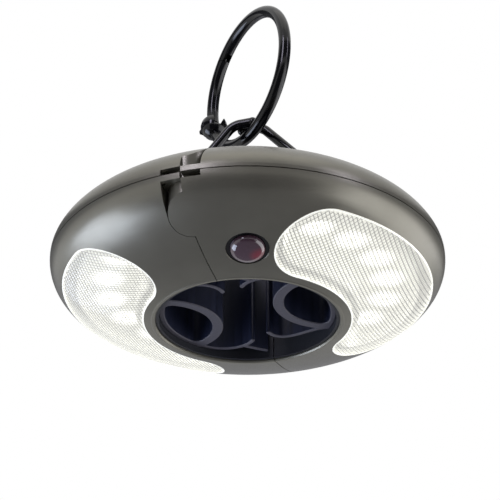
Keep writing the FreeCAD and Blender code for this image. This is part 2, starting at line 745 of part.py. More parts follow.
def contacts(side):
    """Plate at each end of each cell, with a pressed stud that touches it."""
    pieces = []
    y1 = CELL_LENGTH / 2 + CONTACT_ROOM
    half = CONTACT_SIZE / 2
    z = cell_z()
    for x in cell_axes():
        for sign in (-1, 1):
            plate = block(x - half, x + half, sign * (y1 - CONTACT_T), sign * y1, z - half, z + half)
            start = Vector(x, sign * (y1 - CONTACT_T), z)
            stud = Part.makeCone(STUD_R, STUD_TIP_R, CONTACT_ROOM - CONTACT_T, start, Vector(0, -sign, 0))
            pieces.append(plate.fuse(stud))
    return mirrored(Part.makeCompound(pieces), side)


def cell_door(side):
    """Lift-off cover, flush with the top shell, with a plug below it."""
    plate = door_prism(DOOR_GAP, 0, BIG)
    plate = plate.common(body_layer(0, HOLE_R)).cut(body_layer(DOOR_T, HOLE_R))
    plug = door_prism(DOOR_LEDGE + DOOR_GAP, 0, BIG)
    plug = plug.common(body_layer(DOOR_T, HOLE_R)).cut(body_layer(DOOR_T + DOOR_PLUG, HOLE_R))
    return mirrored(plate.fuse(plug), side)


# ---- screws ------------------------------------------------------------------------------------------
def cross_recess(x, y):
    low = SCREW_HEAD_Z + SCREW_HEAD_H - CROSS_DEPTH
    long = CROSS_LENGTH / 2
    wide = CROSS_WIDTH / 2
    bar = block(x - long, x + long, y - wide, y + wide, low, BIG)
    return bar.fuse(block(x - wide, x + wide, y - long, y + long, low, BIG))


def screws(side):
    pieces = []
    for x, y in SCREW_PLACES:
        shank = cylinder(SCREW_R, SCREW_TIP_Z, SCREW_HEAD_Z, x, y)
        head = cylinder(SCREW_HEAD_R, SCREW_HEAD_Z, SCREW_HEAD_Z + SCREW_HEAD_H, x, y)
        pieces.append(shank.fuse(head).cut(cross_recess(x, y)))
    return mirrored(Part.makeCompound(pieces), side)


# ---- hooks --------------------------------------------------------------------------------------------
def fillet_path(points, radii):
    """Straight runs joined by tangent arcs, in one wire."""
    edges = []
    start = points[0]
    for before, corner, after, radius in zip(points, points[1:], points[2:], radii):
        a = (before - corner).normalize()
        b = (after - corner).normalize()
        half = math.acos(max(-1, min(1, a.dot(b)))) / 2
        back = radius / math.tan(half)
        bisector = (a + b).normalize()
        middle = corner + bisector * (radius / math.sin(half) - radius)
        edges.append(Part.LineSegment(start, corner + a * back).toShape())
        edges.append(Part.Arc(corner + a * back, middle, corner + b * back).toShape())
        start = corner + b * back
    edges.append(Part.LineSegment(start, points[-1]).toShape())
    return Part.Wire(edges)


def swept_rod(path, radius):
    edge = path.Edges[0]
    start = edge.valueAt(edge.FirstParameter)
    heading = edge.tangentAt(edge.FirstParameter)
    profile = Part.Wire(Part.Circle(start, heading, radius).toShape())
    return path.makePipeShell([profile], True, False)


def hook(side):
    """Bent rod: flat top over the ring, straight leg, upright foot in its socket."""
    drop = math.tan(math.radians(HOOK_SLOPE)) * (HOOK_FOOT_X - HOOK_BEND_X)
    points = [
        Vector(-HOOK_REACH, HOOK_Y, HOOK_APEX_Z),
        Vector(HOOK_BEND_X, HOOK_Y, HOOK_APEX_Z),
        Vector(HOOK_FOOT_X, HOOK_Y, HOOK_APEX_Z - drop),
        Vector(HOOK_FOOT_X, HOOK_Y, HOOK_END_Z),
    ]
    rod = swept_rod(fillet_path(points, (HOOK_BEND_R, HOOK_FOOT_BEND_R)), HOOK_WIRE_R)
    rod = rod.fuse(Part.makeSphere(HOOK_TIP_R, points[0]))
    groove_low = HOOK_BOSS_Z - CLIP_GAP - CLIP_T
    groove = cylinder(CLIP_R, groove_low, HOOK_BOSS_Z - CLIP_GAP, HOOK_FOOT_X, HOOK_Y)
    groove = groove.cut(cylinder(HOOK_NECK_R, -BIG, BIG, HOOK_FOOT_X, HOOK_Y))
    rod = rod.cut(groove)
    if side < 0:
        rod.rotate(ORIGIN, UP, 180)
    return rod


def hook_clip(side):
    """Snap washer that keeps the hook's foot in its socket."""
    low = HOOK_BOSS_Z - CLIP_GAP - CLIP_T
    high = HOOK_BOSS_Z - CLIP_GAP
    clip = cylinder(CLIP_R, low, high, HOOK_FOOT_X, HOOK_Y)
    clip = clip.cut(cylinder(HOOK_NECK_R, -BIG, BIG, HOOK_FOOT_X, HOOK_Y))
    half = CLIP_SLOT / 2
    slot = block(HOOK_FOOT_X, HOOK_FOOT_X + 2 * CLIP_R, HOOK_Y - half, HOOK_Y + half, -BIG, BIG)
    clip = clip.cut(slot)
    if side < 0:
        clip.rotate(ORIGIN, UP, 180)
    return clip


# ---- snap ring -----------------------------------------------------------------------------------------
def ring_along():
    """Level direction in the plane of the ring."""
    a = math.radians(RING_TURN)
    return Vector(math.cos(a), math.sin(a), 0)


def ring_normal():
    return ring_along().cross(UP)


def ring_outward(angle):
    a = math.radians(angle)
    return ring_along() * math.cos(a) + UP * math.sin(a)


def ring_tangent(angle):
    a = math.radians(angle)
    return ring_along() * -math.sin(a) + UP * math.cos(a)


def ring_point(angle):
    return Vector(0, 0, RING_Z) + ring_outward(angle) * RING_R


def ring_arc(first, last):
    """Round bar along the ring between two ring angles."""
    arc = Part.Arc(ring_point(first), ring_point((first + last) / 2), ring_point(last))
    profile = Part.Wire(Part.Circle(ring_point(first), ring_tangent(first), RING_WIRE_R).toShape())
    return Part.Wire(arc.toShape()).makePipeShell([profile], True, False)


def oriented_block(place, x_dir, z_dir, size_x, size_y, z0, z1):
    """Box centred across z_dir at a place, running from z0 to z1 along it."""
    plate = Part.makeBox(size_x, size_y, z1 - z0, Vector(-size_x / 2, -size_y / 2, z0))
    y_dir = z_dir.cross(x_dir)
    plate.Placement = FreeCAD.Placement(place, FreeCAD.Rotation(x_dir, y_dir, z_dir, "ZXY"))
    return plate


def across_pivot(radius, length):
    """Cylinder on the axis of the gate's pin, centred on the ring's plane."""
    start = ring_point(GATE_PIVOT) - ring_normal() * (length / 2)
    return Part.makeCylinder(radius, length, start, ring_normal())


def gate_reach():
    """Distance from the gate's pin to the face where the gate meets the ring."""
    return (ring_point(GATE_END) - ring_point(GATE_PIVOT)).Length


def gate_cup():
    """Thickened end of the ring, cut flat above, with a slot between its two ears."""
    pivot = ring_point(GATE_PIVOT)
    up = ring_tangent(GATE_PIVOT) * -1
    size = 4 * CUP_R
    cup = Part.makeSphere(CUP_R, pivot)
    return cup.cut(oriented_block(pivot, ring_normal(), up, size, size, CUP_TOP, size))


def gate_slot():
    """Room for the gate's eye and root between the ears of the cup."""
    pivot = ring_point(GATE_PIVOT)
    up = ring_tangent(GATE_PIVOT) * -1
    size = 4 * CUP_R
    width = 2 * (RING_WIRE_R + GATE_CLEAR)
    slot = oriented_block(pivot, ring_normal(), up, width, size, -CUP_SLOT_DEPTH, size)
    return slot.common(Part.makeSphere(2 * CUP_R, pivot))


def nose_socket():
    """Hole in the ring's end for the gate's nose, open towards the middle of the ring."""
    place = ring_point(GATE_END)
    radius = NOSE_R + GATE_CLEAR
    onward = ring_tangent(GATE_END) * -1
    hole = Part.makeCylinder(radius, RING_WIRE_R + 2 * NOSE_LENGTH, place - onward * RING_WIRE_R, onward)
    way_out = oriented_block(place, ring_normal(), ring_outward(GATE_END) * -1,
                             2 * radius, 4 * NOSE_LENGTH, 0, 2 * RING_WIRE_R)
    return hole.fuse(way_out)


def snap_ring():
    """Open ring: one end is the cup of the gate's hinge, the other takes the gate's nose."""
    ring = ring_arc(GATE_PIVOT + CUP_START, 360 + GATE_END + END_SPARE)
    sweep = across_pivot(gate_reach() + GATE_CLEAR, 4 * RING_WIRE_R)
    near_end = Part.makeSphere(4 * RING_WIRE_R, ring_point(GATE_END))
    ring = ring.cut(sweep.common(near_end)).fuse(gate_cup()).cut(gate_slot())
    return ring.cut(across_pivot(GATE_PIN_R, 4 * CUP_R)).cut(nose_socket())


def ring_gate():
    """Spring-closed arc with its eye on the pin, a thumb tab and a nose."""
    pivot = ring_point(GATE_PIVOT)
    up = ring_tangent(GATE_PIVOT) * -1
    width = 2 * RING_WIRE_R
    low = CUP_TOP + GATE_CLEAR
    gate = ring_arc(GATE_END - END_SPARE, GATE_PIVOT - GATE_ROOT)
    gate = gate.common(across_pivot(gate_reach(), 2 * width))
    tab_place = pivot + ring_outward(GATE_PIVOT) * TAB_SHIFT
    tab = oriented_block(tab_place, ring_normal(), up, width, TAB_LENGTH, low, low + TAB_T)
    root = ring_tangent(GATE_END) * RING_WIRE_R
    nose = Part.makeCylinder(NOSE_R, NOSE_LENGTH + RING_WIRE_R, ring_point(GATE_END) + root, root * -1)
    gate = gate.fuse(across_pivot(GATE_EYE_R, width)).fuse(tab).fuse(nose)
    return gate.cut(across_pivot(GATE_PIN_R + PIN_RUN, 2 * CUP_R))


def gate_pin():
    return across_pivot(GATE_PIN_R, 2 * (CUP_R - PIN_SHORT))


# ---- finger routes in plan, for a jaw on the right ---------------------------------------------------
LATCH_FINGER = {1: ((33.5, 26.5), (20.2, 28.6), (8.8, 29.3), (3.9, 23.0)),
                -1: ((33.5, 26.5), (22.0, 37.0), (12.0, 37.0), (4.2, 26.6))}
HINGE_FINGER = ((33.5, -26.5), (22.0, -34.0), (13.0, -33.5), (6.6, -29.0))
ROOT_FINGER = ((13.0, -33.5), (8.0, -38.5), (3.5, -42.5))


def build():
    outer = outer_body()
    lens_back = body_layer(WALL + LENS_FLANGE_T, HOLE_R)
    lens_hole = slot_prism(LENS_INNER_R, LENS_OUTER_R, LENS_END, 0, -BIG, SEAM_Z - LENS_TOP)
    for side, name in ((-1, "left"), (1, "right")):
        half = outer.common(half_region(side))
        cavity = half_cavity(side)
        write(name + "_top_shell", top_shell(side, half, cavity))
        write(name + "_bottom_shell", bottom_shell(side, half, cavity, mirrored(lens_hole, side)))
        write(name + "_lens", lens(side, lens_back))
        write(name + "_reflector", reflector(side, lens_back))
        write(name + "_light_board", light_board(side))
        write(name + "_leds", leds(side))
        write(name + "_jaw_carrier", carrier(side))
        write(name + "_rubber_jaw", jaw(side, (LATCH_FINGER[side], HINGE_FINGER, ROOT_FINGER)))
        write(name + "_cells", cells(side))
        write(name + "_cell_holder", cell_holder(side))
        write(name + "_cell_contacts", contacts(side))
        write(name + "_cell_door", cell_door(side))
        write(name + "_screws", screws(side))
        write(name + "_hook", hook(side))
        write(name + "_hook_clip", hook_clip(side))
    write("hinge_pin", hinge_pin())
    write("hinge_spring", hinge_spring())
    write("power_button", button())
    write("button_bezel", button_bezel())
    write("button_switch", button_switch())
    write("control_board", control_board())
    write("snap_ring", snap_ring())
    write("ring_gate", ring_gate())
    write("gate_pin", gate_pin())


os.makedirs("parts", exist_ok=True)
build()
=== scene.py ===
# %% [markdown]
# # Patio umbrella light
#
# A round battery lamp in two hinged halves. It hangs by a snap ring, and it can also be clamped
# round a pole with the two rubber jaws in its middle. The construction comes from the frame and
# is never moved. This file gives every surface its finish, and models in full the pieces whose
# fine shape matters to the eye: the prismatic lenses, the rubber jaws and the button.

# %% Load the frame
import json
import math

import bmesh
import bpy
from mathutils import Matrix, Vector


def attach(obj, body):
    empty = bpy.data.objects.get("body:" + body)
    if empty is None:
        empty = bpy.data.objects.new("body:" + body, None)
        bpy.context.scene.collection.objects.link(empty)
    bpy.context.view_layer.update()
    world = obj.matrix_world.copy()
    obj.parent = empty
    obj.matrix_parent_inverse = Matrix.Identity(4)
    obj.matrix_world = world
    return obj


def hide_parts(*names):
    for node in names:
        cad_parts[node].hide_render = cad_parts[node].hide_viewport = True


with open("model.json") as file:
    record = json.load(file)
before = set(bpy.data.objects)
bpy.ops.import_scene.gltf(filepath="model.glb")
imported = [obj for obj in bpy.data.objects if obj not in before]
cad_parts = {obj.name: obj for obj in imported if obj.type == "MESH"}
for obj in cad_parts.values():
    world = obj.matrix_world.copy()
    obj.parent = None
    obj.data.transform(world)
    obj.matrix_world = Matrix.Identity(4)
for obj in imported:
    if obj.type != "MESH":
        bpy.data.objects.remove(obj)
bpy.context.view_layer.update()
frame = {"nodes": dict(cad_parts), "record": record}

nodes = frame["nodes"]

# %% [markdown]
# ## Units, colours and small helpers
#
# Sizes are written in millimetres times `mm`, so that they read like a drawing. Colours are
# written as the hex values that a colour picker gives, and one function turns them into the
# linear numbers that the renderer works with.

# %% Units and colours
mm = 0.001
SKIN_WELD = 0.002 * mm      # joins the loose triangles of the frame's solids


def linear(hex_colour, alpha=1.0):
    """sRGB hex to linear RGBA."""
    parts = [int(hex_colour[i:i + 2], 16) / 255 for i in (1, 3, 5)]
    return [c / 12.92 if c <= 0.04045 else ((c + 0.055) / 1.055) ** 2.4 for c in parts] + [alpha]


# %% Selection and finishing helpers
def deselect_everything():
    """Leave edit mode and select nothing, because an operator acts on all that is selected."""
    if bpy.context.object and bpy.context.object.mode != "OBJECT":
        bpy.ops.object.mode_set(mode="OBJECT")
    bpy.ops.object.select_all(action="DESELECT")


def work_on(piece):
    """Make one piece the only selected and active one."""
    deselect_everything()
    piece.select_set(True)
    bpy.context.view_layer.objects.active = piece
    return piece


def named(name):
    """Name the piece that the last operator added, with its place put into its mesh."""
    piece = bpy.context.object
    piece.name = name
    piece.data.name = name
    bpy.ops.object.transform_apply(location=True, rotation=True, scale=True)
    return piece


def select_where(piece, kind, test):
    """In edit mode, select the vertices, edges or faces whose centre passes a test."""
    mesh = bmesh.from_edit_mesh(piece.data)
    bpy.ops.mesh.select_all(action="DESELECT")
    chosen = {"VERT": mesh.verts, "EDGE": mesh.edges, "FACE": mesh.faces}[kind]
    count = 0
    for element in chosen:
        points = [element] if kind == "VERT" else element.verts
        centre = sum((v.co for v in points), Vector()) / len(points)
        if test(centre, element):
            element.select_set(True)
            count += 1
    mesh.select_flush(True)
    bmesh.update_edit_mesh(piece.data)
    return count


def apply_modifier(piece, kind, **settings):
    """Add one modifier, set it and apply it."""
    work_on(piece)
    modifier = piece.modifiers.new(kind.title(), kind)
    for key, value in settings.items():
        setattr(modifier, key, value)
    bpy.ops.object.modifier_apply(modifier=modifier.name)


def copy_of(node, name):
    """Own copy of a solid of the frame, with its loose triangles merged into one skin."""
    deselect_everything()
    piece = bpy.data.objects.new(name, nodes[node].data.copy())
    piece.data.name = name
    bpy.context.scene.collection.objects.link(piece)
    work_on(piece)
    bpy.ops.object.mode_set(mode="EDIT")
    bpy.ops.mesh.select_all(action="SELECT")
    bpy.ops.mesh.remove_doubles(threshold=SKIN_WELD)
    bpy.ops.object.mode_set(mode="OBJECT")
    if piece.data.has_custom_normals:
        bpy.ops.mesh.customdata_custom_splitnormals_clear()
    return piece


def carve(piece, cutter, operation):
    """Boolean of one piece with another, applied; the cutter is used up by its caller."""
    apply_modifier(piece, "BOOLEAN", object=cutter, operation=operation, solver="EXACT")


def face_outwards(piece):
    """Turn all normals of a closed piece outwards."""
    work_on(piece)
    bpy.ops.object.mode_set(mode="EDIT")
    bpy.ops.mesh.select_all(action="SELECT")
    bpy.ops.mesh.normals_make_consistent(inside=False)
    bpy.ops.object.mode_set(mode="OBJECT")


def finish_piece(piece, material, body, smooth_angle=30.0):
    """Give a modelled piece its finish and shading, and let it ride on its body."""
    work_on(piece)
    bpy.ops.object.shade_smooth_by_angle(angle=math.radians(smooth_angle))
    if not piece.data.materials:
        piece.data.materials.append(material)
    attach(piece, body)
    print(piece.name, "faces:", len(piece.data.polygons), "rides on", body)


def mirror_to_left(piece, name):
    """Own copy of a right-hand piece, mirrored across the plane between the halves."""
    deselect_everything()
    twin = bpy.data.objects.new(name, piece.data.copy())
    twin.data.name = name
    bpy.context.scene.collection.objects.link(twin)
    work_on(twin)
    twin.scale = (-1, 1, 1)
    bpy.ops.object.transform_apply(location=True, rotation=True, scale=True)
    face_outwards(twin)
    return twin


# %% [markdown]
# ## Camera
#
# The light hangs above the eye, so the camera looks up at it. Its place was found by fitting the
# widest circle, the seam and the passage of the housing to the photograph, and the small lens
# shift only frames the picture.

# %% Camera
CAMERA_DISTANCE = 0.8
CAMERA_BELOW = math.radians(28.62)
CAMERA_TURN = math.radians(18.0)
SENSOR_WIDTH = 36.0         # the camera's own millimetres, as for the focal length
FOCAL_LENGTH = 113.16
SHIFT_RIGHT = 0.00486       # shares of the picture's width
SHIFT_UP = 0.0355

to_camera = Vector((math.sin(CAMERA_TURN), -math.cos(CAMERA_TURN), 0))
to_right = Vector((math.cos(CAMERA_TURN), math.sin(CAMERA_TURN), 0))
up = Vector((0, 0, 1))

bpy.ops.object.camera_add(location=to_camera * CAMERA_DISTANCE * math.cos(CAMERA_BELOW)
                          - up * CAMERA_DISTANCE * math.sin(CAMERA_BELOW))
camera = bpy.context.object
camera.name = "camera"
camera.rotation_euler = (-camera.location).to_track_quat("-Z", "Y").to_euler()
camera.data.sensor_width = SENSOR_WIDTH
camera.data.lens = FOCAL_LENGTH
camera.data.shift_x = SHIFT_RIGHT
camera.data.shift_y = SHIFT_UP
bpy.context.scene.camera = camera
print("camera at", [round(c, 3) for c in camera.location])

# %% [markdown]
# ## Studio
#
# A white studio with a softbox on either side, which draws the two pale flanks of the housing, a
# weak one above, and two narrow strips, which draw the double streak down the ring. Grey screens
# before, below and behind the light, and a dark curtain round it, are what the paint and the ring
# mirror between the lamps. Only reflections show them. Places and sizes are in metres.


# %% Lamps
def softbox(name, place, width, height, watts, colour):
    """Rectangular lamp that faces the middle of the light."""
    bpy.ops.object.light_add(type="AREA", location=place)
    lamp = bpy.context.object
    lamp.name = name
    lamp.data.shape = "RECTANGLE"
    lamp.data.size = width
    lamp.data.size_y = height
    lamp.data.energy = watts
    lamp.data.color = linear(colour)[:3]
    lamp.rotation_euler = (-lamp.location).to_track_quat("-Z", "Y").to_euler()
    return lamp


softbox("left_softbox", to_right * -0.93 - to_camera * 0.12 - up * 0.58, 0.6, 0.75, 9.0, "#dce7ff")
softbox("right_softbox", to_right * 1.1 - up * 0.33, 1.8, 0.9, 10.5, "#fafaff")
softbox("top_softbox", to_camera * 0.3 + up * 1.2, 1.2, 0.8, 1.6, "#fffaf0")
softbox("left_strip", to_right * -0.51 + to_camera * 0.92 + up * 0.57, 0.22, 0.6, 4.2, "#eeeaff")
softbox("right_strip", to_right * 0.85 + to_camera * 0.62 + up * 0.57, 0.12, 0.6, 1.8, "#eeeaff")


# %% Small function that adds a shader node
def add(tree, kind, values=None, links=None, **settings):
    """Add one node, set its sockets and settings, and join sockets to other nodes' outputs."""
    node = tree.nodes.new(kind)
    for key, value in settings.items():
        setattr(node, key, value)
    for key, value in (values or {}).items():
        node.inputs[key].default_value = value
    for key, output in (links or {}).items():
        tree.links.new(output, node.inputs[key])
    return node


# %% World
STUDIO_FILL = 0.40


def seen_directly(tree):
    """1 for the rays that show a backdrop: from the camera, off gloss and through clear plastic."""
    rays = add(tree, "ShaderNodeLightPath")
    camera_or_clear = {0: rays.outputs["Is Camera Ray"], 1: rays.outputs["Is Transmission Ray"]}
    direct = add(tree, "ShaderNodeMath", links=camera_or_clear, operation="MAXIMUM")
    or_gloss = {0: direct.outputs[0], 1: rays.outputs["Is Glossy Ray"]}
    return add(tree, "ShaderNodeMath", links=or_gloss, operation="MAXIMUM").outputs[0]


world = bpy.data.worlds.new("white_studio")
bpy.context.scene.world = world
world.use_nodes = True
tree = world.node_tree
tree.nodes.clear()
fill = add(tree, "ShaderNodeBackground", {"Color": linear("#ffffff"), "Strength": STUDIO_FILL})
white = add(tree, "ShaderNodeBackground", {"Color": linear("#ffffff"), "Strength": 1.0})
sky = add(tree, "ShaderNodeMixShader",
          links={0: seen_directly(tree), 1: fill.outputs[0], 2: white.outputs[0]})
add(tree, "ShaderNodeOutputWorld", links={"Surface": sky.outputs[0]})

# %% Floor and screens
FLOOR_Z = -1.2
FLOOR_SIZE = 60             # so large that no view shows its edges
CURTAIN_R = 1.7
CURTAIN_HEIGHT = 0.92
CURTAIN_MIDDLE = 0.82

bpy.ops.mesh.primitive_plane_add(size=FLOOR_SIZE, location=(0, 0, FLOOR_Z))
floor = named("studio_floor")


def only_reflected(cloth):
    """Keep a screen out of everything but reflections."""
    cloth.visible_camera = False
    cloth.visible_diffuse = False
    cloth.visible_shadow = False
    cloth.visible_transmission = False
    return cloth


def screen(name, place, width, height):
    """Flat cloth that faces the middle of the light."""
    bpy.ops.mesh.primitive_plane_add(size=1)
    cloth = bpy.context.object
    cloth.scale = (width, height, 1)
    cloth.location = place
    cloth.rotation_euler = (-cloth.location).to_track_quat("Z", "Y").to_euler()
    return only_reflected(named(name))


front_screen = screen("front_screen", to_camera * 1.5 - up * 0.75, 2.8, 1.9)
low_screen = screen("low_screen", up * -1.15, 2.8, 3.2)
back_screen = screen("back_screen", to_camera * -1.5, 2.4, 0.9)
bpy.ops.mesh.primitive_cylinder_add(vertices=96, radius=CURTAIN_R, depth=CURTAIN_HEIGHT,
                                    end_fill_type="NOTHING", location=up * CURTAIN_MIDDLE)
curtain = only_reflected(named("dark_curtain"))

# %% [markdown]
# ## Finishes
#
# Each finish starts from what the real surface is and how it was made. The patterns are laid out
# in object space, from sizes in millimetres.


# %% Start of a material
def start(name, colour, roughness, **sockets):
    """New material with one Principled shader; returns it with its tree and that shader."""
    material = bpy.data.materials.new(name)
    material.use_nodes = True
    tree = material.node_tree
    tree.nodes.clear()
    shader = add(tree, "ShaderNodeBsdfPrincipled",
                 {"Base Color": linear(colour), "Roughness": roughness})
    for key, value in sockets.items():
        shader.inputs[key.replace("_", " ")].default_value = value
    add(tree, "ShaderNodeOutputMaterial", links={"Surface": shader.outputs["BSDF"]})
    return material, tree, shader


def grain(tree, size, detail=2.0):
    """Noise in object space whose blobs are about `size` metres across."""
    place = add(tree, "ShaderNodeTexCoord")
    return add(tree, "ShaderNodeTexNoise", {"Scale": 0.7 / size, "Detail": detail},
               {"Vector": place.outputs["Object"]})


def spread(tree, source, low, high):
    """Map noise, most of which lies between 0.3 and 0.7, on to a range of numbers."""
    ends = {"From Min": 0.3, "From Max": 0.7, "To Min": low, "To Max": high}
    return add(tree, "ShaderNodeMapRange", ends, {"Value": source})


def blended(tree, factor, first, second):
    """Colour between two hex values, by a factor from 0 to 1."""
    mix = add(tree, "ShaderNodeMix", links={"Factor": factor}, data_type="RGBA")
    mix.inputs[6].default_value = linear(first)
    mix.inputs[7].default_value = linear(second)
    return mix.outputs[2]


def roughened(tree, shader, source, low, high):
    """Roughness that wanders between two values."""
    tree.links.new(spread(tree, source, low, high).outputs[0], shader.inputs["Roughness"])


def bumped(tree, shader, source, depth):
    """Relief of `depth` metres from a 0 to 1 value."""
    bump = add(tree, "ShaderNodeBump", {"Strength": 1.0, "Distance": depth}, {"Height": source})
    tree.links.new(bump.outputs["Normal"], shader.inputs["Normal"])


def tinted(tree, shader, source, first, second):
    """Colour that wanders between two hex values."""
    colour = blended(tree, spread(tree, source, 0.0, 1.0).outputs[0], first, second)
    tree.links.new(colour, shader.inputs["Base Color"])


# %% [markdown]
# ### Satin gunmetal paint on ABS
#
# The housing is injection moulded and sprayed with a fine metallic paint. The flakes lie flat in
# the lacquer, so it shades like a dull metal. The spray leaves a faint orange peel, here drawn
# 0.6 mm across, a little coarser than the real one so that it shows.

# %% Housing paint
paint, tree, shader = start("satin_gunmetal_paint_on_abs", "#6f6d64", 0.34, Metallic=0.7)
peel = grain(tree, 0.6 * mm)
cloud = grain(tree, 14 * mm)
tinted(tree, shader, cloud.outputs["Fac"], "#6c6a61", "#727067")
roughened(tree, shader, peel.outputs["Fac"], 0.30, 0.38)
bumped(tree, shader, peel.outputs["Fac"], 0.004 * mm)

# %% [markdown]
# ### Black acetal, rubber and the other plastics
#
# The hooks, ring and button surround are polished black plastic. The jaws are soft black rubber
# with a blue cast, dull, with the faint upright draw lines of an extrusion. Inside parts get the
# plain finishes that such parts have.

# %% Polished black plastic of the hooks and the ring
polished, tree, shader = start("polished_black_acetal", "#060609", 0.14, Specular_IOR_Level=0.32)
scuff = grain(tree, 20 * mm)
roughened(tree, shader, scuff.outputs["Fac"], 0.12, 0.17)

gloss_black, tree, shader = start("gloss_black_abs", "#060608", 0.12)
roughened(tree, shader, grain(tree, 2 * mm).outputs["Fac"], 0.08, 0.18)

# %% Rubber of the jaws
rubber, tree, shader = start("extruded_black_rubber", "#0f1428", 0.45)
place = add(tree, "ShaderNodeTexCoord")
drawn = add(tree, "ShaderNodeMapping", {"Scale": (1.0, 1.0, 0.02)},
            {"Vector": place.outputs["Object"]})
draw_lines = add(tree, "ShaderNodeTexNoise", {"Scale": 0.7 / (1.2 * mm), "Detail": 2.0},
                 {"Vector": drawn.outputs[0]})
tinted(tree, shader, draw_lines.outputs["Fac"], "#0b1022", "#151b34")
roughened(tree, shader, draw_lines.outputs["Fac"], 0.40, 0.55)
bumped(tree, shader, draw_lines.outputs["Fac"], 0.01 * mm)

# The sawn ends' paler colour is painted light, for the light that falls on the end faces; their
# dull roughness and specks are the rubber's own
sawn_end_painted_light, tree, shader = start("sawn_rubber_edge", "#3a3943", 0.62)
speck = grain(tree, 0.7 * mm)
tinted(tree, shader, speck.outputs["Fac"], "#35343e", "#403f4a")
bumped(tree, shader, speck.outputs["Fac"], 0.01 * mm)

# %% Moulded black ABS of the carriers and holders
moulded, tree, shader = start("moulded_black_abs", "#12151e", 0.55)
spark = grain(tree, 0.5 * mm)
roughened(tree, shader, spark.outputs["Fac"], 0.48, 0.62)
bumped(tree, shader, spark.outputs["Fac"], 0.006 * mm)

# %% Zinc-plated steel, board, cells
steel, tree, shader = start("zinc_plated_steel", "#b9b9bd", 0.32, Metallic=1.0)
roughened(tree, shader, grain(tree, 1.5 * mm, 4.0).outputs["Fac"], 0.25, 0.4)

board, tree, shader = start("solder_mask_on_glass_epoxy", "#2e6b3c", 0.35)
tinted(tree, shader, grain(tree, 1 * mm).outputs["Fac"], "#2a6337", "#347344")

jacket, tree, shader = start("shrink_film_on_cell", "#2c2c30", 0.3)
roughened(tree, shader, grain(tree, 3 * mm).outputs["Fac"], 0.25, 0.36)

# %% [markdown]
# ### Light from the lights
#
# Six white lights shine in each half. The tray behind the lens is white, and its emission paints a
# glow on it, brightest round each light and greyer between them: painted light, for the lights' own
# light on the tray. The distance to the nearest light is worked out from the radius
# and the heading of a point, because the lights stand on one arc at even steps.

# %% Distance to the nearest light, as shader nodes
LIGHT_ARC_R = 70.5 * mm
LIGHT_STEP = math.radians(18.0)
HALF_TURN = LIGHT_STEP * 10


def computed(tree, operation, first, second=None):
    """Output of one Math node; the second operand is a number or another node's output."""
    values, links = {}, {0: first}
    if second is not None:
        (values if isinstance(second, float) else links)[1] = second
    return add(tree, "ShaderNodeMath", values, links, operation=operation).outputs[0]


def light_distance(tree):
    """Nodes that give the distance in plan from a point to the nearest light."""
    place = add(tree, "ShaderNodeTexCoord")
    axes = add(tree, "ShaderNodeSeparateXYZ", links={0: place.outputs["Object"]})
    squares = [computed(tree, "POWER", axes.outputs[i], 2.0) for i in (0, 1)]
    radius = computed(tree, "SQRT", computed(tree, "ADD", squares[0], squares[1]))
    side = computed(tree, "ABSOLUTE", axes.outputs[0])
    heading = computed(tree, "ARCTAN2", axes.outputs[1], side)
    above_zero = computed(tree, "ADD", heading, HALF_TURN)
    folded = computed(tree, "MODULO", above_zero, LIGHT_STEP)
    centred = computed(tree, "SUBTRACT", folded, LIGHT_STEP / 2)
    across = computed(tree, "MULTIPLY", centred, LIGHT_ARC_R)
    outward = computed(tree, "SUBTRACT", radius, LIGHT_ARC_R)
    both = add(tree, "ShaderNodeCombineXYZ", links={0: across, 1: outward})
    length = add(tree, "ShaderNodeVectorMath", links={0: both.outputs[0]}, operation="LENGTH")
    return length.outputs["Value"]


def glow(tree, near, far, bright, dim):
    """Painted glow: strength falling from bright to dim with distance to the nearest light."""
    ends = {"From Min": near, "From Max": far, "To Min": bright, "To Max": dim}
    fall = add(tree, "ShaderNodeMapRange", ends, {"Value": light_distance(tree)},
               interpolation_type="SMOOTHERSTEP")
    return fall.outputs[0]


# %% Lit materials: the lights, and the painted glow of the tray and the lenses
tray_white, tree, shader = start("gloss_white_styrene", "#f2f2ee", 0.3,
                                 Emission_Color=linear("#fffef4"))
# The tray's glow is painted light, standing for the lights shining on the white tray
tree.links.new(glow(tree, 2 * mm, 12 * mm, 4.0, 0.25), shader.inputs["Emission Strength"])

light_face, tree, shader = start("resin_over_phosphor", "#fdf8d8", 0.25,
                                 Emission_Color=linear("#fffff4"), Emission_Strength=2.5)

# The lens's emission is painted glow, for the lights' own light passing through it; the valleys get
# a darker colour and less glow, which is painted shade
clear, tree, shader = start("prismatic_clear_polycarbonate", "#ffffff", 0.12, IOR=1.58,
                            Emission_Color=linear("#fdfcf2"))
valley = add(tree, "ShaderNodeAttribute", attribute_name="valley")
dot = add(tree, "ShaderNodeMapRange", {"From Min": 0.55, "From Max": 0.95},
          {"Value": valley.outputs["Fac"]}, interpolation_type="SMOOTHSTEP")
opaque = add(tree, "ShaderNodeMapRange", {"To Min": 0.45, "To Max": 0.8},
             {"Value": dot.outputs[0]})
painted_lens_glow = add(tree, "ShaderNodeMapRange", {"To Min": 0.75, "To Max": 0.12},
                {"Value": dot.outputs[0]})
tree.links.new(opaque.outputs[0], shader.inputs["Alpha"])
tree.links.new(painted_lens_glow.outputs[0], shader.inputs["Emission Strength"])
tree.links.new(blended(tree, dot.outputs[0], "#b8b7b2", "#70706e"), shader.inputs["Base Color"])

# The rim's faint emission is painted glow, for the lights' light carried in the clear rim
rim_clear, tree, shader = start("polished_clear_polycarbonate", "#f4f4ee", 0.08, IOR=1.58,
                                Emission_Color=linear("#fffff0"), Emission_Strength=0.32)
roughened(tree, shader, grain(tree, 2 * mm).outputs["Fac"], 0.06, 0.14)

# %% Smoky acrylic of the button, with the red of the lamp under it
INDICATOR_PLACE = (25.5 * mm, -62.5 * mm, -29.5 * mm)

